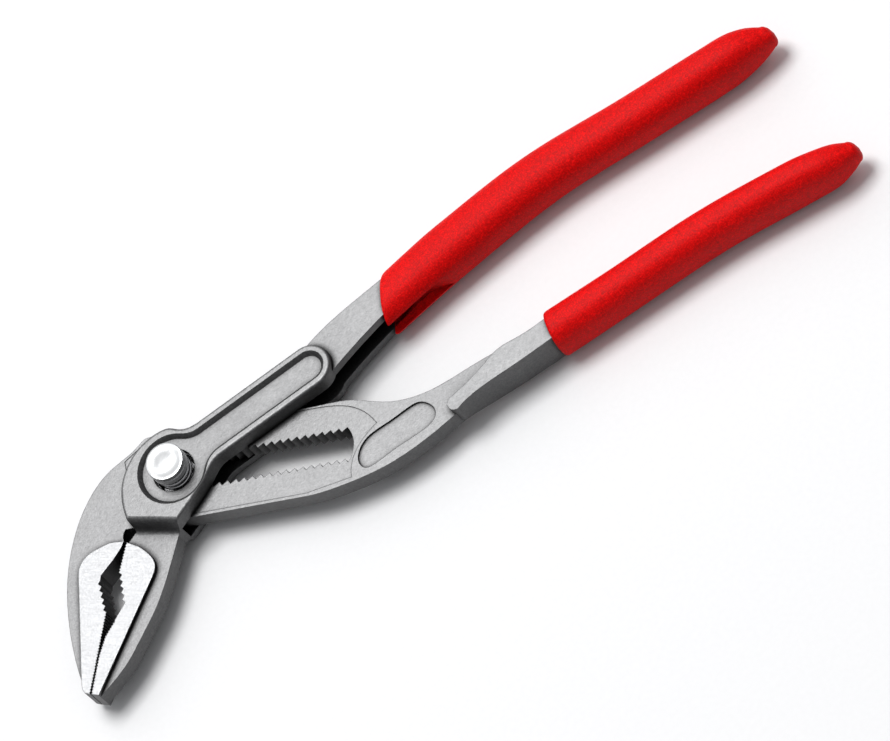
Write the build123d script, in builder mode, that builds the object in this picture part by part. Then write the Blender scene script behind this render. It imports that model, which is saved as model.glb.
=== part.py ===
"""Tongue and groove pliers with a push-button box joint, 180 mm long, jaws closed.

X runs from the joint to the handle ends, Z is up through the thickness, and the origin is
the hinge axis on the underside of the joint. All sizes are in millimetres.
"""

import os
from math import cos, radians, sin

from build123d import *

os.makedirs("parts", exist_ok=True)

# Thicknesses, each shared equally by both sides of the middle plane
joint_height = 11.4
slot_height = 4.2
plate_clearance = 0.05
jaw_height = 3.9
pad_height = 5.8
tang_height = 8.2
middle = joint_height / 2
plate_height = slot_height - 2 * plate_clearance

# Joint plate of the outer arm
plate_angle = radians(-5.8)
plate_half_width = 4.55
plate_end = Vector(32.8, -2.55)
plate_straight = 23.4
rim_width = 1.3
head_edge_radius = 0.6
back_bevel_width = 1.1
back_bevel_height = 2.0
recess_depth = 0.9
recess_radius = 7.3
recess_slope = 42
recess_neck_radius = 5.0
ramp_start = 9.8
ramp_end = 12.5
spine_face = -1.2
groove_end = 62.0

# Hinge bolt, button and spring
bolt_diameter = 8.4
bore_clearance = 0.05
bolt_recess = 0.15
teeth_above_middle = 0.2
neck_diameter = 5.2
shaft_diameter = 4.0
ledge_height = 0.8
button_diameter = 7.8
button_height = 2.6
button_gap = 4.0
well_clearance = 0.5
button_chamfer = 0.12
button_groove_depth = 0.15
button_groove_width = 0.3
spigot_diameter = 2.8
spigot_length = 1.6
spigot_clearance = 0.02
spring_wire = 0.7
spring_diameter = 7.5
spring_turns = 2.35
spring_end_gap = 0.03

# Adjusting window of the inner arm
window_angle = radians(-34)
tooth_pitch = 1.75
window_teeth = 22
window_start = -3.4
row_spacing = 6.5
window_bulge = 1.25
tooth_clearance = 0.12
band_half_width = 9.25
slot_clearance = 0.25
opening_angle = radians(30)
label_pocket_depth = 0.4
runout_end = 70.0
machined_depth = 0.1

# Gripping jaws, which meet along one straight seam at the tips
seam_start = Vector(-27.2, -13.4)
seam_tip = Vector(-39.3, -25.0)
jaw_gap = 0.08
fine_pitch = 0.6
fine_depth = 0.25
coarse_pitch = 1.45
coarse_depth = 0.6

# Handles: how far each reaches from the hinge axis, and where its grip begins
outer_reach = 142.3
inner_reach = 140.3
outer_grip_start = 46.0
inner_grip_start = 69.0
outer_grip_slant = radians(31)
inner_grip_slant = radians(16)
outer_grip_front = Vector(52.1, -0.6)
inner_grip_front = Vector(73.0, -30.4)
grip_corner_share = 0.75


def polar(angle, radius=1.0):
    """Return the point at this angle and radius."""
    return Vector(cos(angle) * radius, sin(angle) * radius)


def outer_point(share, y):
    """Return a point of the outer handle at this share of its grip's length."""
    return (outer_grip_start + share * outer_grip_length, y)


def inner_point(share, y):
    """Return a point of the inner handle at this share of its grip's length."""
    return (inner_grip_start + share * inner_grip_length, y)


def left_of(direction):
    """Return the direction turned a quarter to the left."""
    return Vector(-direction.Y, direction.X)


def zigzag(start, end, pitch, depth):
    """Return tooth crests and roots from start to end, with the roots left of the way."""
    start, end = Vector(*start), Vector(*end)
    way = end - start
    teeth = max(1, round(way.length / pitch))
    side = left_of(way).normalized() * depth
    points = []
    for i in range(teeth):
        points.append(start + way * (i / teeth))
        points.append(start + way * ((i + 0.5) / teeth) + side)
    return points


along_plate = polar(plate_angle)
across_plate = left_of(along_plate)
along_window = polar(window_angle)
across_window = left_of(along_window)
outer_grip_length = outer_reach - outer_grip_start
inner_grip_length = inner_reach - inner_grip_start
seam_way = (seam_tip - seam_start).normalized()
seam_side = left_of(seam_way)


# The window's teeth are a staircase: each step runs along X and then down along Y.
step_run = Vector(tooth_pitch * cos(window_angle), 0)
step_depth = step_run.X * sin(-window_angle)


def window_profile(inset=0.0):
    """Make the toothed window's outline, each tooth flank moved in by inset."""
    root_offset = row_spacing / 2 + step_depth / 2
    root = along_window * window_start - across_window * root_offset + Vector(inset, inset)
    lower = []
    for i in range(window_teeth):
        lower.append(root + along_window * (tooth_pitch * i))
        lower.append(lower[-1] + step_run)
    lower.append(root + along_window * (tooth_pitch * window_teeth))
    both_ends = along_window * (2 * window_start + tooth_pitch * window_teeth)
    upper = [both_ends - point for point in lower]
    bulge = along_window * (window_bulge - inset)
    with BuildSketch() as profile:
        with BuildLine():
            Polyline(*lower)
            ThreePointArc(lower[-1], (lower[-1] + upper[0]) * 0.5 + bulge, upper[0])
            Polyline(*upper)
            ThreePointArc(upper[-1], (upper[-1] + lower[0]) * 0.5 - bulge, lower[0])
        make_face()
    return profile.sketch


def slot_profile():
    """Make the outline of the space between the two cheeks that the inner arm moves in."""
    reach = band_half_width + slot_clearance
    far = 25
    half_opened = polar(radians(90) + window_angle - opening_angle / 2)
    web_corner = half_opened * (-reach / cos(opening_angle / 2))
    opened_edge = polar(window_angle - opening_angle)
    spine_start = (spine_face - across_window.Y * reach) / along_window.Y
    with BuildSketch() as profile:
        with BuildLine():
            Polyline(
                web_corner,
                web_corner - along_window * far,
                across_window * reach - along_window * far,
                across_window * reach + along_window * spine_start,
                (groove_end - 2, spine_face),
                (groove_end, spine_face - 2),
                (groove_end, -far),
                web_corner + opened_edge * far,
                close=True,
            )
        make_face()
    return profile.sketch


def plate_profile(inset, length):
    """Make the outline of the straight part of the joint plate with its round end."""
    half_width = plate_half_width - inset
    top = plate_end + across_plate * half_width
    bottom = plate_end - across_plate * half_width
    with BuildSketch() as profile:
        with BuildLine():
            Line(top - along_plate * length, top)
            ThreePointArc(top, plate_end + along_plate * half_width, bottom)
            Line(bottom, bottom - along_plate * length)
            Line(bottom - along_plate * length, top - along_plate * length)
        make_face()
    return profile.sketch


def inner_tang_profile():
    """Make the outline of the inner arm's tang, with its rounded nose."""
    with BuildSketch() as profile:
        with BuildLine():
            nose = ThreePointArc((50.6, -28.0), (48.7, -29.6), (50.0, -31.0))
            lower_edge = Spline(
                nose @ 1,
                (53, -30.65),
                (56.3, -30.8),
                (59.7, -31.2),
                (62.9, -31.7),
                (66.2, -32.1),
                (71.6, -32.7),
                inner_point(0.1, -33.0),
                inner_point(0.49, -37.0),
                inner_point(0.83, -42.3),
            )
            upper_edge = Spline(
                inner_point(0.84, -38.8),
                inner_point(0.49, -32.8),
                inner_point(0.1, -28.6),
                (69.7, -28.0),
                (66.8, -27.4),
                (63.6, -26.7),
                (61.3, -26.8),
                (58.8, -27.3),
                (54.7, -27.8),
                nose @ 0,
            )
            ThreePointArc(lower_edge @ 1, inner_point(0.863, -41.2), upper_edge @ 0)
        make_face()
    return profile.sketch


# Gripping edges, from the joint to the tip
outer_edge = [
    *zigzag((-16.0, -4.1), (-20.7, -8.2), fine_pitch, fine_depth),
    *zigzag((-20.7, -8.2), (-24.1, -14.7), coarse_pitch, coarse_depth),
    Vector(-24.1, -14.7),
    *zigzag((-27.0, -15.9), (-30.3, -17.2), fine_pitch, fine_depth),
    *zigzag(
        (-30.3, -17.2),
        seam_start + seam_way * 8.8 + seam_side * jaw_gap,
        fine_pitch,
        fine_depth,
    ),
    *zigzag(
        seam_start + seam_way * 8.8 + seam_side * jaw_gap,
        seam_tip + seam_side * jaw_gap,
        fine_pitch,
        fine_depth,
    ),
    seam_tip + seam_side * jaw_gap,
]
inner_edge = [
    Vector(-16.3, -3.6),
    Vector(-17.4, -4.3),
    Vector(-20.0, -5.2),
    Vector(-23.8, -6.1),
    *zigzag((-24.4, -6.8), seam_start - seam_side * jaw_gap, coarse_pitch, -coarse_depth),
    *zigzag(
        seam_start - seam_side * jaw_gap, seam_tip - seam_side * jaw_gap, fine_pitch, -fine_depth
    ),
    seam_tip - seam_side * jaw_gap,
]


# Outer arm: jaw, joint with two cheeks, and tang, in one forging

plate_top = plate_end + across_plate * plate_half_width
plate_bottom = plate_end - across_plate * plate_half_width
neck_top = plate_top - along_plate * plate_straight
neck_bottom = plate_bottom - along_plate * plate_straight
jaw_root = Vector(-7.4, -10.3)
jaw_shoulder = Vector(-13.2, -3.3)

with BuildPart() as outer_arm:
    # joint head with its round cheek, and the plate that runs to the tang
    with BuildSketch():
        with BuildLine():
            Line(neck_top, plate_top)
            ThreePointArc(plate_top, plate_end + along_plate * plate_half_width, plate_bottom)
            Line(plate_bottom, neck_bottom)
            Spline(
                neck_bottom,
                (4.6, -6.1),
                (0, -7.9),
                (-4, -9.1),
                jaw_root,
                tangents=(-along_plate, (-1, -0.55)),
            )
            Polyline(jaw_root, (-13.0, -14.2), (-18.0, -9.0), jaw_shoulder)
            Spline(
                jaw_shoulder,
                (-12.2, 0.7),
                (-9.9, 4.6),
                (-5.6, 7.8),
                (0, 8.9),
                (4.2, 7.8),
                neck_top,
                tangents=((0.1, 1), along_plate),
            )
        make_face()
    extrude(amount=joint_height)
    # the head ramps down to the jaw on both sides
    with BuildSketch(Plane(origin=(0, 0, middle), x_dir=(-1, -1, 0), z_dir=(-1, 1, 0))):
        with BuildLine():
            Line((-60, middle), (ramp_start, middle))
            Spline(
                (ramp_start, middle),
                (ramp_end, jaw_height / 2),
                tangents=((1, -0.2), (1, -0.1)),
            )
            Polyline((ramp_end, jaw_height / 2), (ramp_end, 0), (-60, 0), (-60, middle))
        make_face()
        mirror(about=Plane.XZ)
    extrude(amount=60, both=True, mode=Mode.INTERSECT)
    top_face = outer_arm.faces().sort_by(Axis.Z)[-1]
    fillet(top_face.edges(), head_edge_radius)
    bottom_face = outer_arm.faces().sort_by(Axis.Z)[0]
    chamfer(bottom_face.edges(), back_bevel_width, back_bevel_height, reference=bottom_face)
    # thin jaw with a raised pad that carries the gripping teeth
    with BuildSketch(Plane.XY.offset(middle - jaw_height / 2)):
        with BuildLine():
            Polyline(jaw_shoulder, *outer_edge, (-38.2, -26.35))
            Spline(
                (-38.2, -26.35),
                (-34.0, -25.6),
                (-30, -24.5),
                (-25, -22.2),
                (-20, -19.7),
                (-15, -16.4),
                (-10, -12.4),
                jaw_root,
            )
            Polyline(jaw_root, (-7, -7), jaw_shoulder)
        make_face()
    extrude(amount=jaw_height)
    with BuildSketch(Plane.XY.offset(middle - pad_height / 2)):
        with BuildLine():
            Polyline(*outer_edge, (-38.2, -26.35))
            Line((-38.2, -26.35), (-16.2, -14.0))
            Spline(
                (-16.2, -14.0),
                (-14.3, -12.3),
                (-13.9, -10.0),
                (-14.6, -6.8),
                outer_edge[0],
                tangents=((0.87, 0.49), (-0.45, 0.9)),
            )
        make_face()
    extrude(amount=pad_height)
    # tang, which the grip covers
    with BuildSketch(Plane.XY.offset(middle - tang_height / 2)):
        with BuildLine():
            upper_edge = Spline(
                (28, 0),
                (36, 2.3),
                outer_point(0.07, 2.65),
                outer_point(0.35, 1.9),
                outer_point(0.61, -2.4),
                outer_point(0.88, -7.6),
            )
            lower_edge = Spline(
                outer_point(0.88, -10.6),
                outer_point(0.61, -5.8),
                outer_point(0.35, -2.6),
                outer_point(0.1, -3.4),
                outer_point(-0.01, -4.45),
                (34, -6.4),
            )
            ThreePointArc(upper_edge @ 1, outer_point(0.9, -9.2), lower_edge @ 0)
            Line(lower_edge @ 1, upper_edge @ 0)
        make_face()
    extrude(amount=tang_height)
    # slot between the cheeks
    with BuildSketch(Plane.XY.offset(middle - slot_height / 2)):
        add(slot_profile())
    extrude(amount=slot_height, mode=Mode.SUBTRACT)
    # recess round the button and along the plate
    with BuildSketch(Plane.XY.offset(joint_height)) as recess:
        Circle(recess_radius)
        add(plate_profile(rim_width, plate_end.X))
        necks = recess.vertices().filter_by_position(Axis.X, 3, 8)
        fillet(necks, recess_neck_radius)
    extrude(amount=-recess_depth, taper=recess_slope, mode=Mode.SUBTRACT)
    # bores for the bolt, its shaft and the button
    with Locations((0, 0, middle - slot_height / 2)):
        Hole(bolt_diameter / 2 + bore_clearance, depth=middle)
    with Locations((0, 0, joint_height)):
        Hole(shaft_diameter / 2 + bore_clearance, depth=middle)
        Hole(button_diameter / 2 + well_clearance, depth=middle - slot_height / 2 - ledge_height)
outer_arm.part.label = "outer_arm"
export_step(outer_arm.part, "parts/outer_arm.step")


# Inner arm: jaw, toothed window band and tang, in one forging

with BuildPart() as inner_arm:
    # tang, which the grip covers, with a nose whose underside runs out below the band
    with BuildSketch(Plane.XY.offset(middle - tang_height / 2)):
        add(inner_tang_profile())
    extrude(amount=tang_height)
    with BuildSketch(Plane.XZ):
        with BuildLine():
            runout = Spline(
                (49, middle - 0.12 * tang_height / 2),
                (53, middle - 0.60 * tang_height / 2),
                (56.3, middle - 0.80 * tang_height / 2),
                (62.7, middle - 0.92 * tang_height / 2),
                (runout_end, middle - tang_height / 2),
            )
            Polyline(runout @ 1, (runout_end, -middle), (40, -middle), (40, middle), runout @ 0)
        make_face()
    extrude(amount=inner_reach, both=True, mode=Mode.SUBTRACT)
    # band through the joint, with the jaw's flank at one end
    with BuildSketch(Plane.XY.offset(middle - plate_height / 2)):
        with BuildLine():
            Polyline(*inner_edge, (-40.1, -23.9))
            Spline(
                (-40.1, -23.9),
                (-38, -17.1),
                (-34, -8.3),
                (-30, -2.0),
                (-25, 3.6),
                (-18, 8.7),
                (-10, 11.2),
                (-3, 11.3),
                across_window * band_half_width - along_window * 6.2,
                tangents=((0.25, 0.97), along_window),
            )
            Line(
                across_window * band_half_width - along_window * 6.2,
                across_window * band_half_width + along_window * 28.5,
            )
            Spline(
                across_window * band_half_width + along_window * 28.5,
                (34.6, -12.2),
                (40, -18.0),
                (47, -22.2),
                (55.6, -24.2),
                (61.4, -25.4),
                (64.5, -26.4),
                (67.5, -27.9),
                tangents=(along_window, (1, -0.5)),
            )
            Line((67.5, -27.9), (67.5, -31.5))
            Spline(
                (67.5, -31.5),
                (60, -30.9),
                (55, -30.45),
                (47.6, -30.4),
                (33, -29.1),
                (25, -26.5),
                (16.9, -22.55),
                tangents=((-1, 0.05), -along_window),
            )
            Line((16.9, -22.55), -across_window * band_half_width - along_window * 11.4)
            ThreePointArc(
                -across_window * band_half_width - along_window * 11.4, (-15.9, -2.2), inner_edge[0]
            )
        make_face()
        add(window_profile(), mode=Mode.SUBTRACT)
    extrude(amount=plate_height)
    # raised pad that carries the gripping teeth
    with BuildSketch(Plane.XY.offset(middle - pad_height / 2)):
        with BuildLine():
            Polyline(*inner_edge, (-40.1, -23.9))
            Spline((-40.1, -23.9), (-39.95, -22.8), (-39.5, -21.9))
            Line((-39.5, -21.9), (-28.2, -4.3))
            Spline(
                (-28.2, -4.3),
                (-26.2, -1.6),
                (-23.5, -0.65),
                (-19.5, -1.5),
                inner_edge[0],
                tangents=((0.54, 0.84), (0.75, -0.66)),
            )
        make_face()
    extrude(amount=pad_height)
    # band ground down on both sides where it runs between the cheeks
    with BuildSketch() as ground_band:
        with BuildLine():
            Polyline(
                -across_window * (band_half_width - 0.65) - along_window * 9.5,
                -across_window * (band_half_width - 0.65) + along_window * 26.5,
                (25.8, -25.8),
            )
            Spline((25.8, -25.8), (29.5, -22.0), (36.1, -20.2), tangents=((0.5, 1), (1, 0.1)))
            Spline(
                (36.1, -20.2),
                (34.2, -13.7),
                (25.0, -6.2),
                tangents=((0, 1), -along_window),
            )
            Polyline(
                (25.0, -6.2),
                across_window * (band_half_width + 2) - along_window * 3.0,
                across_window * 5.0 - along_window * 11.5,
                -across_window * (band_half_width - 0.65) - along_window * 9.5,
            )
        make_face()
    for side in (0, 1):
        with BuildSketch(Plane.XY.offset(middle - plate_height / 2 + side * plate_height)):
            add(ground_band.sketch)
        extrude(amount=machined_depth * (1 - 2 * side), mode=Mode.SUBTRACT)
    # blank label pocket
    with BuildSketch(Plane.XY.offset(middle + plate_height / 2)):
        with BuildLine():
            Spline(
                (28.6, -25.4),
                (28.8, -23.9),
                (30.0, -22.5),
                (32.4, -21.4),
                (38.0, -21.8),
                (43.0, -22.3),
                (44.9, -22.9),
                (46.1, -24.5),
                (46.4, -26.4),
                (45.6, -27.7),
                (43.3, -28.3),
                (36.0, -27.4),
                (30.6, -26.9),
                (29.2, -26.4),
                periodic=True,
            )
        make_face()
    extrude(amount=-label_pocket_depth, mode=Mode.SUBTRACT)
inner_arm.part.label = "inner_arm"
export_step(inner_arm.part, "parts/inner_arm.step")


# Hinge bolt: round base, toothed part, neck against the upper cheek, shaft and spigot

slot_floor = middle - slot_height / 2
slot_roof = middle + slot_height / 2
well_floor = slot_roof + ledge_height
button_underside = well_floor + button_gap

with BuildPart() as hinge_bolt:
    with BuildSketch(Plane.XY.offset(bolt_recess)):
        Circle(bolt_diameter / 2)
    extrude(amount=slot_floor - bolt_recess)
    with BuildSketch(Plane.XY.offset(slot_floor)):
        Circle(bolt_diameter / 2)
        add(window_profile(tooth_clearance), mode=Mode.INTERSECT)
    extrude(amount=slot_height / 2 + teeth_above_middle)
    with BuildSketch(Plane.XY.offset(middle)):
        Circle(neck_diameter / 2)
    extrude(amount=slot_height / 2)
    with BuildSketch(Plane.XY.offset(slot_roof)):
        Circle(shaft_diameter / 2)
    extrude(amount=ledge_height + button_gap)
    with BuildSketch(Plane.XY.offset(button_underside)):
        Circle(spigot_diameter / 2)
    extrude(amount=spigot_length)
hinge_bolt.part.label = "hinge_bolt"
export_step(hinge_bolt.part, "parts/hinge_bolt.step")


# Push button: a cap on the bolt's spigot, with a shallow groove round its side

with BuildPart() as push_button:
    with BuildSketch(Plane.XZ):
        with BuildLine():
            side = button_diameter / 2
            top = button_underside + button_height
            groove = button_underside + button_height / 2
            Polyline(
                (0, button_underside),
                (side, button_underside),
                (side, groove),
                (side - button_groove_depth, groove + button_groove_width / 2),
                (side, groove + button_groove_width),
                (side, top - button_chamfer),
                (side - button_chamfer, top),
                (0, top),
                close=True,
            )
        make_face()
    revolve(axis=Axis.Z)
    with BuildSketch(Plane.XY.offset(button_underside)):
        Circle(spigot_diameter / 2 + spigot_clearance)
    extrude(amount=spigot_length + spigot_clearance, mode=Mode.SUBTRACT)
push_button.part.label = "push_button"
export_step(push_button.part, "parts/push_button.step")


# Return spring, coiled round the shaft between the ledge and the button

coil_radius = (spring_diameter - spring_wire) / 2
coil_height = button_gap - spring_wire - 2 * spring_end_gap
coil_start = well_floor + spring_wire / 2 + spring_end_gap

with BuildPart() as return_spring:
    with BuildLine() as coil:
        Helix(coil_height / spring_turns, coil_height, coil_radius, center=(0, 0, coil_start))
    with BuildSketch(Plane(origin=coil.line @ 0, z_dir=coil.line % 0)):
        Circle(spring_wire / 2)
    sweep(is_frenet=True)
return_spring.part.label = "return_spring"
export_step(return_spring.part, "parts/return_spring.step")


# Grips: each is moulded over the tang it covers, so the arm's own shape is cut out of it


def grip_corner(width, height):
    """Return the corner radius of a grip's section."""
    return grip_corner_share * min(width, height) / 2


# Each section is its share of the grip's length, its middle's y, its width and its height.
outer_grip_sections = (
    (0.0, -0.9, 10.3, 10.6),
    (0.228, -0.25, 10.3, 10.6),
    (0.457, -1.3, 10.0, 10.3),
    (0.685, -5.4, 9.3, 10.4),
    (0.872, -8.6, 8.7, 11.2),
)
outer_tip_sections = (
    (0.924, -9.2, 8.0, 10.2),
    (0.96, -9.9, 6.3, 7.6),
    (0.986, -10.9, 3.4, 4.2),
)
outer_grip_end_y = -11.5
inner_grip_sections = (
    (0.0, -29.6, 8.2, 10.4),
    (0.28, -32.6, 8.2, 10.4),
    (0.561, -35.6, 8.3, 10.4),
    (0.828, -40.2, 7.9, 11.2),
)
inner_tip_sections = (
    (0.898, -41.6, 7.4, 10.2),
    (0.947, -42.2, 5.9, 7.6),
    (0.982, -42.9, 3.2, 4.2),
)
inner_grip_end_y = -43.4


def grip_profile(section, start, length):
    """Make one rounded section of a grip that has this start and length."""
    share, y, width, height = section
    with BuildSketch(Plane.YZ.offset(start + share * length)) as profile:
        with Locations((y, middle)):
            RectangleRounded(width, height, grip_corner(width, height))
    return profile.sketch.face()


def front_profile(front, slant):
    """Make the outline of the stretch in front of a grip's slanted front edge."""
    up = Vector(sin(slant), cos(slant)) * 20
    with BuildSketch() as profile:
        with BuildLine():
            Polyline(front - up, front + up, front + up - (30, 0), front - up - (30, 0), close=True)
        make_face()
    return profile.sketch


with BuildPart() as outer_grip:
    sections = [
        grip_profile(section, outer_grip_start, outer_grip_length)
        for section in outer_grip_sections + outer_tip_sections
    ]
    smooth = len(outer_grip_sections)
    loft(sections[:smooth])
    loft([*sections[smooth - 1 :], Vertex(outer_reach, outer_grip_end_y, middle)], ruled=True)
    with BuildSketch():
        add(front_profile(outer_grip_front, outer_grip_slant))
    extrude(amount=joint_height, mode=Mode.SUBTRACT)
    with BuildSketch(Plane.XY.offset(middle - slot_height / 2)):
        add(slot_profile())
    extrude(amount=slot_height, mode=Mode.SUBTRACT)
    add(outer_arm.part, mode=Mode.SUBTRACT)
outer_grip.part.label = "outer_grip"
export_step(outer_grip.part, "parts/outer_grip.step")

with BuildPart() as inner_grip:
    sections = [
        grip_profile(section, inner_grip_start, inner_grip_length)
        for section in inner_grip_sections + inner_tip_sections
    ]
    smooth = len(inner_grip_sections)
    loft(sections[:smooth])
    loft([*sections[smooth - 1 :], Vertex(inner_reach, inner_grip_end_y, middle)], ruled=True)
    with BuildSketch():
        add(front_profile(inner_grip_front, inner_grip_slant))
    extrude(amount=joint_height, mode=Mode.SUBTRACT)
    add(inner_arm.part, mode=Mode.SUBTRACT)
inner_grip.part.label = "inner_grip"
export_step(inner_grip.part, "parts/inner_grip.step")
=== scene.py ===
import math

import bmesh
import bpy
from mathutils import Matrix, Vector


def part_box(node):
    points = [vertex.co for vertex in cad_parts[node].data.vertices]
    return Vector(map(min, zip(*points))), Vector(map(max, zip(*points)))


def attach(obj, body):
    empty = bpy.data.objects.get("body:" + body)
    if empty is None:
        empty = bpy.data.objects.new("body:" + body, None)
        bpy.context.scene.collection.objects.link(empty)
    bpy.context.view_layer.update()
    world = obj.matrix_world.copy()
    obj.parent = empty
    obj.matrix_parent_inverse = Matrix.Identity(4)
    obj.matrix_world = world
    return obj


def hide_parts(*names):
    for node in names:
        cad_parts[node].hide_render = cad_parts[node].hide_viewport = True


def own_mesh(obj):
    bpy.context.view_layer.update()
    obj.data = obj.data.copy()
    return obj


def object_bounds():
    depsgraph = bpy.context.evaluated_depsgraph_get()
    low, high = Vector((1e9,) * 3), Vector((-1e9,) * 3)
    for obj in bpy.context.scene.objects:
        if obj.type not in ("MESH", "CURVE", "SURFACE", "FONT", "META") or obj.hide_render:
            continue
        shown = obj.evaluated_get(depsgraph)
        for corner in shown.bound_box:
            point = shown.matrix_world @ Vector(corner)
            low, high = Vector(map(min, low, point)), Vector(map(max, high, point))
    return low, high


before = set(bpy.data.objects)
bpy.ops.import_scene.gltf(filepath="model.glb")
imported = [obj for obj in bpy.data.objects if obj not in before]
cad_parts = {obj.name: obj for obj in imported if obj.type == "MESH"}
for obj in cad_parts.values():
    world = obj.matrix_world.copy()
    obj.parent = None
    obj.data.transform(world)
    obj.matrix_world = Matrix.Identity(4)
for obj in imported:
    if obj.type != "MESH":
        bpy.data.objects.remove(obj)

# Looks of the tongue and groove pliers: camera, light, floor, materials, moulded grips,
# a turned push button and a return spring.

cad_low, cad_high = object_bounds()
scene = bpy.context.scene
scene.view_settings.view_transform = "Standard"
MM = 0.001

# The tool's middle height, in metres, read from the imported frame
arm_low, arm_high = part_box("outer_arm")
middle = (arm_low.z + arm_high.z) / 2

# Camera: angles in degrees, and in metres its target, its distance and the width that it sees
CAMERA_AZIMUTH = 5
CAMERA_ELEVATION = 57.7
CAMERA_ROLL = -45
CAMERA_TARGET = Vector((0.05243, -0.02009, middle))
CAMERA_DISTANCE = 2.0
VIEW_WIDTH = 0.1705
SENSOR_WIDTH = 36

# Each light is its name, compass angle and elevation in degrees, side in metres and power in watts
LIGHTS = (
    ("key", -8, 75, 0.7, 24),
    ("panel", -5, 46, 1.7, 9),
)
LIGHT_TARGET = Vector((0.05, -0.015, middle))
LIGHT_DISTANCE = 1.6

# Studio surround, from the horizon to overhead
HORIZON_COLOUR = (0.10, 0.10, 0.105, 1)
OVERHEAD_COLOUR = (0.85, 0.86, 0.88, 1)
OVERHEAD_HEIGHT = 0.85
SURROUND_STRENGTH = 0.55

# Base colours
STEEL_GREY = (0.205, 0.205, 0.207)
GROUND_PAD_GREY = (0.27, 0.272, 0.277)
BOLT_GREY = (0.36, 0.36, 0.37)
CHROME_GREY = (0.47, 0.475, 0.48)
SPRING_GREY = (0.55, 0.55, 0.56)
GRIP_RED = (0.62, 0.001, 0.001)
GRIP_PEAK_RED = (0.85, 0.012, 0.01)
PAPER_WHITE = (0.72, 0.72, 0.725)

# Sizes that the materials follow
PAD_HALF_HEIGHT = 2.9 * MM
TURNING_PITCH = 0.22 * MM
NOISE_LOW, NOISE_HIGH = 0.3, 0.7

# Each row is its share of the grip's length, its middle's y, its width and its height, in mm
OUTER_ROWS = (
    (0.0, -0.9, 10.3, 10.6),
    (0.114, -0.4, 10.3, 10.6),
    (0.228, -0.25, 10.3, 10.6),
    (0.457, -1.3, 10.0, 10.3),
    (0.685, -5.4, 9.3, 10.4),
    (0.872, -8.6, 8.7, 11.1),
    (0.924, -9.2, 8.0, 10.1),
    (0.962, -9.9, 6.3, 7.8),
    (0.985, -10.6, 4.3, 5.4),
)
INNER_ROWS = (
    (0.0, -29.6, 8.2, 10.4),
    (0.14, -31.1, 8.2, 10.4),
    (0.28, -32.6, 8.2, 10.4),
    (0.561, -35.6, 8.3, 10.4),
    (0.828, -40.2, 7.9, 11.1),
    (0.898, -41.6, 7.4, 10.1),
    (0.949, -42.25, 5.9, 7.8),
    (0.980, -42.75, 4.1, 5.4),
)

# Ends of each grip's full length along x, its tip's y and its front corner, in mm
OUTER_ENDS = (46.0, 142.3)
OUTER_TIP_Y = -10.9
OUTER_FRONT = Vector((52.1, -0.6))
OUTER_SLANT = math.radians(31)
INNER_ENDS = (69.0, 140.3)
INNER_TIP_Y = -42.95
INNER_FRONT = Vector((73.0, -30.4))
INNER_SLANT = math.radians(16)

# Rounded front rim: how far behind the front each ring is, in mm, and its share of full size
RIM = ((0.0, 0.90), (0.10, 0.94), (0.28, 0.972), (0.55, 0.993), (0.9, 1.0))
RIM_LENGTH = 1.6
SLANT_FADE_LENGTH = 22
BODY_STEPS = 80
TIP_STEPS = 7
RING_POINTS = 72
CORNER_POWER = 2.4
TIP_POWER = 2.0

# Open slot in the side of the outer grip, in mm
SLOT_OUTLINE = (
    (40, -1.2),
    (40, -30),
    (70, -30),
    (68, -7.5),
    (64.5, -5.2),
    (60.5, -3.3),
    (57, -2.0),
    (53, -1.2),
)
SLOT_HALF_HEIGHT = 2.1

# Push button, in metres; the groove's points are its depth and its height above the middle
BUTTON_SEGMENTS = 128
BUTTON_CORE_RADIUS = 0.2 * MM
BUTTON_CHAMFER = 0.12 * MM
BUTTON_LIP_RADIUS = 0.16 * MM
BUTTON_LIP_STEPS = 5
BUTTON_GROOVE = (
    (0.0, -0.05 * MM),
    (0.1 * MM, 0.02 * MM),
    (0.17 * MM, 0.15 * MM),
    (0.1 * MM, 0.28 * MM),
    (0.0, 0.35 * MM),
)
# Shallow ring in the button's top: distance in from the side, and depth
BUTTON_DISH = (
    (0.8 * MM, 0.0),
    (1.0 * MM, 0.04 * MM),
    (2.2 * MM, 0.04 * MM),
    (2.4 * MM, 0.0),
)

FLOOR_HALF_SIZE = 6.0
FLOOR_GAP = 0.02 * MM


# ---------------------------------------------------------------- camera and light


def add_camera():
    """Make the camera with a long lens at the tool's viewing angle."""
    azimuth = math.radians(CAMERA_AZIMUTH)
    elevation = math.radians(CAMERA_ELEVATION)
    back = Vector(
        (
            math.sin(azimuth) * math.cos(elevation),
            -math.cos(azimuth) * math.cos(elevation),
            math.sin(elevation),
        )
    )
    data = bpy.data.cameras.new("camera")
    data.sensor_width = SENSOR_WIDTH
    data.lens = SENSOR_WIDTH * CAMERA_DISTANCE / VIEW_WIDTH
    data.clip_start, data.clip_end = 0.1, 10
    camera = bpy.data.objects.new("camera", data)
    scene.collection.objects.link(camera)
    move = Matrix.Translation(CAMERA_TARGET + back * CAMERA_DISTANCE)
    level = (-back).to_track_quat("-Z", "Y").to_matrix().to_4x4()
    camera.matrix_world = move @ level @ Matrix.Rotation(math.radians(CAMERA_ROLL), 4, "Z")
    scene.camera = camera


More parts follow.
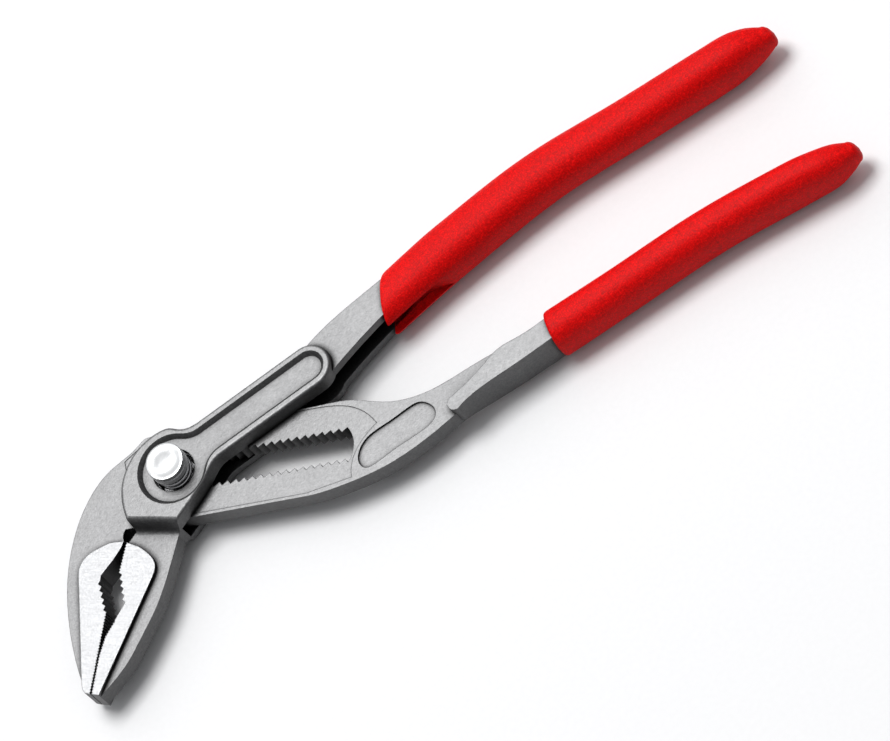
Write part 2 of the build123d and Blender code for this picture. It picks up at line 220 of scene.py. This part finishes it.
def add_area_light(name, azimuth, elevation, size, power):
    """Aim a square soft box at the tool from a compass angle and an elevation, in degrees."""
    a, e = math.radians(azimuth), math.radians(elevation)
    out = Vector((math.sin(a) * math.cos(e), math.cos(a) * math.cos(e), math.sin(e)))
    data = bpy.data.lights.new(name, "AREA")
    data.shape = "SQUARE"
    data.size = size
    data.energy = power
    light = bpy.data.objects.new(name, data)
    scene.collection.objects.link(light)
    move = Matrix.Translation(LIGHT_TARGET + out * LIGHT_DISTANCE)
    light.matrix_world = move @ out.to_track_quat("Z", "Y").to_matrix().to_4x4()


def add_world():
    """Make a soft studio surround, dim at the horizon and brighter overhead."""
    world = bpy.data.worlds.new("studio")
    scene.world = world
    world.use_nodes = True
    nodes, links = world.node_tree.nodes, world.node_tree.links
    background = nodes["Background"]
    coordinates = nodes.new("ShaderNodeTexCoord")
    split = nodes.new("ShaderNodeSeparateXYZ")
    ramp = nodes.new("ShaderNodeValToRGB")
    horizon, overhead = ramp.color_ramp.elements
    horizon.position = 0.0
    horizon.color = HORIZON_COLOUR
    overhead.position = OVERHEAD_HEIGHT
    overhead.color = OVERHEAD_COLOUR
    links.new(coordinates.outputs["Generated"], split.inputs[0])
    links.new(split.outputs["Z"], ramp.inputs["Fac"])
    links.new(ramp.outputs["Color"], background.inputs["Color"])
    background.inputs["Strength"].default_value = SURROUND_STRENGTH


# ---------------------------------------------------------------- material helpers


class Nodes:
    """A material's node tree, with short ways to add and join nodes."""

    def __init__(self, name):
        self.material = bpy.data.materials.new(name)
        self.material.use_nodes = True
        self.tree = self.material.node_tree
        self.shader = self.tree.nodes["Principled BSDF"]
        self.place = self.add("ShaderNodeTexCoord").outputs["Object"]

    def add(self, kind, **settings):
        node = self.tree.nodes.new(kind)
        for key, value in settings.items():
            setattr(node, key, value)
        return node

    def join(self, source, target):
        self.tree.links.new(source, target)

    def put(self, value, target):
        """Link a socket, or set a plain value, on the target socket."""
        if isinstance(value, bpy.types.NodeSocket):
            self.join(value, target)
        else:
            target.default_value = value

    def shade_with(self, name, value):
        """Link a socket to, or set a plain value on, an input of the surface shader."""
        self.put(value, self.shader.inputs[name])

    def math(self, operation, *values):
        node = self.add("ShaderNodeMath", operation=operation)
        for i, value in enumerate(values):
            self.put(value, node.inputs[i])
        return node.outputs[0]

    def product(self, first, *others):
        """Multiply numbers together, in order."""
        for other in others:
            first = self.math("MULTIPLY", first, other)
        return first

    def split(self, vector):
        """Return the x, y and z sockets of a vector."""
        node = self.add("ShaderNodeSeparateXYZ")
        self.join(vector, node.inputs[0])
        return node.outputs

    def stretch(self, scale, turn):
        """Return object coordinates turned about Z and scaled, for drawn-out grain."""
        node = self.add("ShaderNodeMapping", vector_type="TEXTURE")
        node.inputs["Rotation"].default_value = (0, 0, math.radians(turn))
        node.inputs["Scale"].default_value = [1 / s for s in scale]
        self.join(self.place, node.inputs["Vector"])
        return node.outputs[0]

    def noise(self, scale, detail=2.0, roughness=0.5, vector=None):
        node = self.add("ShaderNodeTexNoise")
        node.inputs["Scale"].default_value = scale
        node.inputs["Detail"].default_value = detail
        node.inputs["Roughness"].default_value = roughness
        self.join(vector or self.place, node.inputs["Vector"])
        return node.outputs["Fac"]

    def span(self, value, low, high, to_low, to_high):
        """Map a value from one range to another, clamped at both ends."""
        node = self.add("ShaderNodeMapRange", clamp=True)
        self.put(value, node.inputs["Value"])
        for name, number in (
            ("From Min", low),
            ("From Max", high),
            ("To Min", to_low),
            ("To Max", to_high),
        ):
            node.inputs[name].default_value = number
        return node.outputs["Result"]

    def vary(self, noise, to_low, to_high):
        """Map the usual range of a noise to another range."""
        return self.span(noise, NOISE_LOW, NOISE_HIGH, to_low, to_high)

    def mix(self, factor, a, b, blend="MIX"):
        node = self.add("ShaderNodeMix", data_type="RGBA", blend_type=blend)
        self.put(factor, node.inputs["Factor"])
        for value, socket in ((a, node.inputs["A"]), (b, node.inputs["B"])):
            plain = not isinstance(value, bpy.types.NodeSocket)
            self.put((*value, 1) if plain else value, socket)
        return node.outputs["Result"]

    def tint(self, colour, tone):
        """Multiply a colour by a number."""
        node = self.add("ShaderNodeCombineColor")
        for i in range(3):
            self.put(tone, node.inputs[i])
        return self.mix(1.0, colour, node.outputs[0], "MULTIPLY")

    def painted_shade(self, distance, low, high, dark, own=False):
        """Return a painted shade tone from occlusion, dark in corners and slots and 1 on open faces; own
        leaves other pieces out.
        """
        node = self.add("ShaderNodeAmbientOcclusion", samples=8, only_local=own)
        node.inputs["Distance"].default_value = distance
        return self.span(node.outputs["AO"], low, high, dark, 1.0)

    def bump(self, height, distance, strength, under=None):
        node = self.add("ShaderNodeBump")
        node.inputs["Strength"].default_value = strength
        node.inputs["Distance"].default_value = distance
        self.put(height, node.inputs["Height"])
        if under:
            self.join(under, node.inputs["Normal"])
        return node.outputs["Normal"]

    def round_edges(self, radius):
        node = self.add("ShaderNodeBevel", samples=6)
        node.inputs["Radius"].default_value = radius
        return node.outputs["Normal"]


# ---------------------------------------------------------------- materials


def forged_steel():
    """Grey phosphated forging with bright ground jaw pads, and painted shade in its corners and slots, on
    its side faces and along its edges.
    """
    n = Nodes("forged_steel")
    grain = n.noise(2700, detail=1.0, roughness=0.6)
    speckle = n.noise(1300, detail=3.0, roughness=0.7)
    mottle = n.noise(140, detail=3.0)
    edges = n.round_edges(0.2 * MM)
    geometry = n.add("ShaderNodeNewGeometry")
    # painted shade: darker along rounded edges, where the bevel normal leans off the face's true normal
    painted_edge_shade = n.add("ShaderNodeVectorMath", operation="DOT_PRODUCT")
    n.join(edges, painted_edge_shade.inputs[0])
    n.join(geometry.outputs["True Normal"], painted_edge_shade.inputs[1])
    upright = n.math("ABSOLUTE", n.split(geometry.outputs["Normal"])["Z"])
    # tone: random grain, speckle and mottle, times painted shade from the factors below
    tone = n.product(
        n.vary(grain, 0.78, 1.16),
        n.vary(speckle, 0.84, 1.12),
        n.vary(mottle, 0.95, 1.05),
        # painted shade: darker in creases, slots and the arms' own windows and channels, from occlusion
        n.painted_shade(1.3 * MM, 0.55, 0.97, dark=0.08),
        n.painted_shade(6 * MM, 0.25, 0.62, dark=0.10),
        n.painted_shade(9 * MM, 0.42, 0.93, dark=0.16, own=True),
        # painted shade along rounded edges
        n.span(painted_edge_shade.outputs["Value"], 0.72, 0.98, 0.62, 1.0),
        # painted shade: steep side faces darker than faces that point up or down
        n.span(upright, 0.70, 0.97, 0.56, 1.0),
    )
    steel = n.tint(STEEL_GREY, tone)

    # ground pads lie at one height on both sides and face straight up or down
    from_middle = n.math("ABSOLUTE", n.math("SUBTRACT", n.split(n.place)["Z"], middle))
    off_pad = n.math("ABSOLUTE", n.math("SUBTRACT", from_middle, PAD_HALF_HEIGHT))
    level = n.span(off_pad, 0.03 * MM, 0.08 * MM, 1, 0)
    flat = n.span(upright, 0.97, 0.99, 0, 1)
    pad = n.product(level, flat)

    brush = n.noise(1.0, detail=2.0, vector=n.stretch((300, 4200, 300), turn=-46))
    fine = n.noise(1.0, detail=3.0, vector=n.stretch((500, 2100, 500), turn=-44))
    ground = n.tint(GROUND_PAD_GREY, n.product(n.vary(brush, 0.93, 1.04), n.vary(fine, 0.96, 1.03)))
    n.shade_with("Base Color", n.mix(pad, steel, ground))
    n.shade_with("Metallic", n.span(pad, 0, 1, 0.75, 1.0))
    n.shade_with("Roughness", n.math("ADD", n.vary(grain, 0.42, 0.56), n.span(pad, 0, 1, 0.0, -0.04)))
    forged_height = n.product(n.math("SUBTRACT", 1.0, pad), grain)
    brushed_height = n.product(pad, n.product(brush, 0.25))
    height = n.math("ADD", forged_height, brushed_height)
    n.shade_with("Normal", n.bump(height, 0.035 * MM, 0.8, edges))
    return n.material


def bolt_steel():
    """Turned and hardened steel of the hinge bolt."""
    n = Nodes("bolt_steel")
    grain = n.noise(2500, detail=3.0)
    place = n.split(n.place)
    squares = n.math("ADD", n.math("POWER", place["X"], 2.0), n.math("POWER", place["Y"], 2.0))
    radius = n.math("SQRT", squares)
    rings = n.math("SINE", n.product(radius, 2 * math.pi / TURNING_PITCH))
    tone = n.product(n.vary(grain, 0.85, 1.1), n.span(rings, -1, 1, 0.94, 1.04))
    n.shade_with("Base Color", n.tint(BOLT_GREY, tone))
    n.shade_with("Metallic", 1.0)
    n.shade_with("Roughness", n.vary(grain, 0.28, 0.42))
    n.shade_with("Normal", n.bump(rings, 0.01 * MM, 0.5, n.round_edges(0.15 * MM)))
    return n.material


def button_chrome():
    """Bright plated steel of the push button, with faint handling marks."""
    n = Nodes("button_chrome")
    marks = n.noise(1.0, detail=4.0, vector=n.stretch((700, 3800, 700), turn=25))
    smear = n.noise(380, detail=3.0)
    tone = n.product(n.span(marks, 0.35, 0.65, 0.95, 1.0), n.vary(smear, 0.97, 1.0))
    n.shade_with("Base Color", n.tint(CHROME_GREY, tone))
    n.shade_with("Metallic", 1.0)
    n.shade_with("Roughness", n.vary(smear, 0.14, 0.22))
    n.shade_with("Normal", n.bump(marks, 0.008 * MM, 0.4, n.round_edges(0.12 * MM)))
    return n.material


def spring_steel():
    """Drawn spring wire, bright with a little oil."""
    n = Nodes("spring_steel")
    drawn = n.noise(2200, detail=2.0)
    n.shade_with("Base Color", n.tint(SPRING_GREY, n.vary(drawn, 0.8, 1.1)))
    n.shade_with("Metallic", 1.0)
    n.shade_with("Roughness", n.vary(drawn, 0.18, 0.32))
    n.shade_with("Normal", n.bump(drawn, 0.01 * MM, 0.4))
    return n.material


def grip_plastic():
    """Dip-moulded red plastic with a fine pebbled skin, and painted shade in its slot and corners."""
    n = Nodes("grip_plastic")
    pebble = n.noise(3200, detail=2.0, roughness=0.6)
    coarse = n.noise(1400, detail=2.0)
    cloud = n.noise(60, detail=2.0)
    tone = n.product(
        n.vary(pebble, 0.66, 1.20),
        n.vary(coarse, 0.84, 1.12),
        n.vary(cloud, 0.97, 1.03),
        # painted shade: darker in the slot and corners, from occlusion
        n.painted_shade(1.5 * MM, 0.3, 0.9, dark=0.35),
    )
    red = n.mix(n.span(pebble, 0.55, 0.8, 0, 0.35), GRIP_RED, GRIP_PEAK_RED)
    n.shade_with("Base Color", n.tint(red, tone))
    n.shade_with("Roughness", n.vary(pebble, 0.48, 0.62))
    height = n.math("ADD", pebble, n.product(coarse, 0.6))
    n.shade_with("Normal", n.bump(height, 0.10 * MM, 0.8))
    n.shade_with("Specular IOR Level", 0.1)
    return n.material


def floor_paper():
    """Pale matte studio paper."""
    n = Nodes("floor_paper")
    fibre = n.noise(900, detail=3.0)
    n.shade_with("Base Color", n.tint(PAPER_WHITE, n.vary(fibre, 0.99, 1.01)))
    n.shade_with("Roughness", 0.9)
    return n.material


# ---------------------------------------------------------------- meshes


def mesh_object(name, vertices, faces):
    """Make an object from points in metres and faces."""
    mesh = bpy.data.meshes.new(name)
    mesh.from_pydata(vertices, [], faces)
    mesh.update()
    piece = bpy.data.objects.new(name, mesh)
    scene.collection.objects.link(piece)
    return piece


def row_at(rows, share, column):
    """Interpolate one column of the rows smoothly at a share of the length."""
    for i in range(len(rows) - 1):
        if share <= rows[i + 1][0]:
            break
    a, b = rows[i], rows[i + 1]
    before, after = rows[max(i - 1, 0)], rows[min(i + 2, len(rows) - 1)]
    span = b[0] - a[0]
    slope_a = (b[column] - before[column]) / (b[0] - before[0])
    slope_b = (after[column] - a[column]) / (after[0] - a[0])
    t = min(max((share - a[0]) / span, 0), 1)
    return (
        a[column] * (1 + 2 * t) * (1 - t) ** 2
        + slope_a * span * t * (1 - t) ** 2
        + b[column] * t * t * (3 - 2 * t)
        - slope_b * span * t * t * (1 - t)
    )


def ring(x, y, width, height):
    """Return the points of one section, in mm, as a squared-off ellipse."""
    points = []
    for k in range(RING_POINTS):
        a = 2 * math.pi * k / RING_POINTS
        c, s = math.cos(a), math.sin(a)
        across = math.copysign(abs(c) ** (2 / CORNER_POWER), c) * width / 2
        up = math.copysign(abs(s) ** (2 / CORNER_POWER), s) * height / 2
        points.append(Vector((x, y + across, middle / MM + up)))
    return points


def grip_rings(rows, ends, tip_y, front, slant):
    """Return the rings of a grip with a slanted, rounded front rim and a rounded tip."""
    start, end = ends
    length = end - start
    first = (front.x - start) / length
    last, last_y, last_width, last_height = rows[-1]
    stations = [(first + along / length, scale) for along, scale in RIM]
    near = first + RIM_LENGTH / length
    for i in range(BODY_STEPS + 1):
        stations.append((near + (last - near) * i / BODY_STEPS, 1.0))
    rings = []
    for share, scale in stations:
        x = start + share * length
        y, width, height = (row_at(rows, share, column) for column in (1, 2, 3))
        points = ring(x, y, width * scale, height * scale)
        fade = max(0.0, 1 - (share - first) * length / SLANT_FADE_LENGTH)
        fade = fade * fade * (3 - 2 * fade)
        for point in points:
            point.x += (point.y - front.y) * math.tan(slant) * fade
        rings.append(points)
    for i in range(1, TIP_STEPS):
        t = i / TIP_STEPS
        shrink = (1 - t**TIP_POWER) ** (1 / TIP_POWER)
        x = start + (last + (1 - last) * t) * length
        y = last_y + (tip_y - last_y) * t
        rings.append(ring(x, y, last_width * shrink, last_height * shrink))
    return rings


def grip_mesh(name, rows, ends, tip_y, front, slant):
    """Make a closed grip from its rings, a flat front face and a tip point."""
    rings = grip_rings(rows, ends, tip_y, front, slant)
    vertices = [point * MM for points in rings for point in points]
    faces = []
    for i in range(len(rings) - 1):
        a, b = i * RING_POINTS, (i + 1) * RING_POINTS
        for k in range(RING_POINTS):
            m = (k + 1) % RING_POINTS
            faces.append((a + k, a + m, b + m, b + k))
    tip = len(vertices)
    vertices.append(Vector((ends[1], tip_y, middle / MM)) * MM)
    base = tip - RING_POINTS
    faces += [(base + k, base + (k + 1) % RING_POINTS, tip) for k in range(RING_POINTS)]
    faces.append(tuple(reversed(range(RING_POINTS))))
    return mesh_object(name, vertices, faces)


def prism(name, outline, low, high):
    """Make a straight prism from an outline in mm between two heights in mm."""
    count = len(outline)
    vertices = [Vector((x, y, z)) * MM for z in (low, high) for x, y in outline]
    faces = [tuple(reversed(range(count))), tuple(range(count, 2 * count))]
    for k in range(count):
        m = (k + 1) % count
        faces.append((k, m, count + m, count + k))
    return mesh_object(name, vertices, faces)


def lathe(name, profile, segments):
    """Turn a profile of (radius, height) points in metres about the joint's axis, closed at both ends."""
    vertices, faces = [], []
    count = len(profile)
    for k in range(segments):
        a = 2 * math.pi * k / segments
        vertices += [(r * math.cos(a), r * math.sin(a), z) for r, z in profile]
        m = (k + 1) % segments
        for i in range(count - 1):
            faces.append((k * count + i, m * count + i, m * count + i + 1, k * count + i + 1))
    bottom = [k * count for k in range(segments)]
    top = [k * count + count - 1 for k in range(segments)]
    faces += [tuple(reversed(bottom)), tuple(top)]
    return mesh_object(name, vertices, faces)


def cut(piece, tools):
    """Cut closed meshes out of a piece and keep the result as its mesh."""
    for tool in tools:
        change = piece.modifiers.new("cut", "BOOLEAN")
        change.operation = "DIFFERENCE"
        change.solver = "EXACT"
        change.object = tool
    graph = bpy.context.evaluated_depsgraph_get()
    done = bpy.data.meshes.new_from_object(piece.evaluated_get(graph))
    piece.modifiers.clear()
    piece.data = done
    for tool in tools:
        bpy.data.objects.remove(tool)


def closed_copy(name, node):
    """Copy a CAD node with the split corners of its mesh joined again."""
    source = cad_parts[node]
    copy = bpy.data.objects.new(name, source.data.copy())
    copy.data.name = name
    scene.collection.objects.link(copy)
    work = bmesh.new()
    work.from_mesh(copy.data)
    bmesh.ops.remove_doubles(work, verts=work.verts, dist=MM / 1000)
    work.to_mesh(copy.data)
    work.free()
    return copy


def smooth(piece, degrees):
    """Shade a mesh smooth apart from its real corners."""
    mesh = piece.data
    mesh.polygons.foreach_set("use_smooth", [True] * len(mesh.polygons))
    mesh.set_sharp_from_angle(angle=math.radians(degrees))
    mesh.update()


def dress(piece, material):
    """Give an object its only material."""
    piece.data.materials.clear()
    piece.data.materials.append(material)


# ---------------------------------------------------------------- pieces


def add_grips(material):
    """Make both grips, cut to fit the arms, in place of the CAD grips."""
    outer = grip_mesh("outer_grip_skin", OUTER_ROWS, OUTER_ENDS, OUTER_TIP_Y, OUTER_FRONT, OUTER_SLANT)
    slot_low = middle / MM - SLOT_HALF_HEIGHT
    slot_high = middle / MM + SLOT_HALF_HEIGHT
    slot = prism("slot", SLOT_OUTLINE, slot_low, slot_high)
    cut(outer, [closed_copy("outer_tang", "outer_arm"), slot])
    inner = grip_mesh("inner_grip_skin", INNER_ROWS, INNER_ENDS, INNER_TIP_Y, INNER_FRONT, INNER_SLANT)
    cut(inner, [closed_copy("inner_tang", "inner_arm")])
    for piece, body, node in (
        (outer, "fixed_handle", "outer_grip"),
        (inner, "sliding_handle", "inner_grip"),
    ):
        smooth(piece, 35)
        dress(piece, material)
        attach(piece, body)
        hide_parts(node)


def add_button(material):
    """Turn the push button with a rounded top edge, a groove round its side and a shallow ring on top."""
    low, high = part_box("push_button")
    side = (high.x - low.x) / 2
    half_way = low.z + 0.5 * (high.z - low.z)
    profile = [
        (BUTTON_CORE_RADIUS, low.z),
        (side - BUTTON_CHAMFER, low.z),
        (side, low.z + BUTTON_CHAMFER),
    ]
    profile += [(side - depth, half_way + up) for depth, up in BUTTON_GROOVE]
    for i in range(BUTTON_LIP_STEPS + 1):
        a = math.pi / 2 * i / BUTTON_LIP_STEPS
        inset = BUTTON_LIP_RADIUS * (1 - math.cos(a))
        drop = BUTTON_LIP_RADIUS * (1 - math.sin(a))
        profile.append((side - inset, high.z - drop))
    profile += [(side - inset, high.z - depth) for inset, depth in BUTTON_DISH]
    profile.append((BUTTON_CORE_RADIUS, high.z))
    piece = lathe("button_cap", profile, BUTTON_SEGMENTS)
    smooth(piece, 40)
    dress(piece, material)
    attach(piece, "locking_bolt")
    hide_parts("push_button")


def add_spring(material):
    """Use a smoothed copy of the spring, carried by the hinge carrier."""
    piece = closed_copy("return_coil", "return_spring")
    smooth(piece, 50)
    dress(piece, material)
    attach(piece, "hinge_carrier")
    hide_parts("return_spring")
    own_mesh(piece)


def add_floor(material):
    """Lay a pale floor under the tool."""
    s = FLOOR_HALF_SIZE
    corners = [(-s, -s, 0), (s, -s, 0), (s, s, 0), (-s, s, 0)]
    floor = mesh_object("floor", corners, [(0, 1, 2, 3)])
    dress(floor, material)
    floor.location.z = cad_low.z - FLOOR_GAP


add_camera()
add_world()
for light in LIGHTS:
    add_area_light(*light)
steel = forged_steel()
dress(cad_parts["outer_arm"], steel)
dress(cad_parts["inner_arm"], steel)
dress(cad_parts["hinge_bolt"], bolt_steel())
add_button(button_chrome())
add_spring(spring_steel())
add_grips(grip_plastic())
add_floor(floor_paper())
